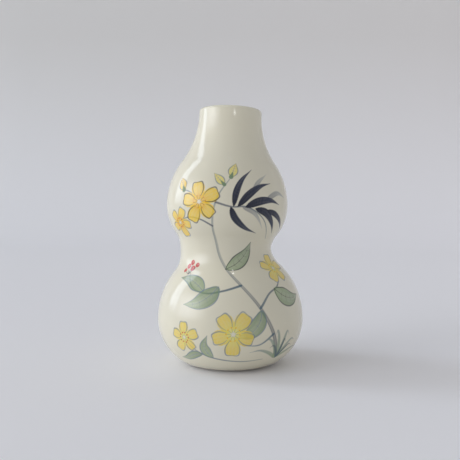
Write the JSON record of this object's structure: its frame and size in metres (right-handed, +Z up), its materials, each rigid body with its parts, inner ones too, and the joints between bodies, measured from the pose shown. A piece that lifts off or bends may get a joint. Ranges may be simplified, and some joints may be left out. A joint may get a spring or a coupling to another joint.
{
  "type": "bud vase",
  "caption": "Small gourd-shaped ceramic bud vase: round belly, pinched waist, smaller upper bulb, slim flaring neck and a round open mouth, with a slight handmade lean.",
  "frame": {"origin": "centre of the bounding box's base, on the surface that the vase stands on", "axes": "+Z up out of the mouth, +X to the viewer's right in the picture, +Y away from the viewer"},
  "size_m": [0.0806, 0.0804, 0.1404],
  "materials": {
    "clay": "unglazed fired stoneware, matte",
    "slip": "fired slip, matte",
    "glaze": "glossy ivory glaze"
  },
  "bodies": {
    "root": {"lower_section": "clay", "upper_section": "clay", "joint_slip": "slip", "outer_glaze": "glaze", "liner_glaze": "glaze"}
  },
  "joints": []
}
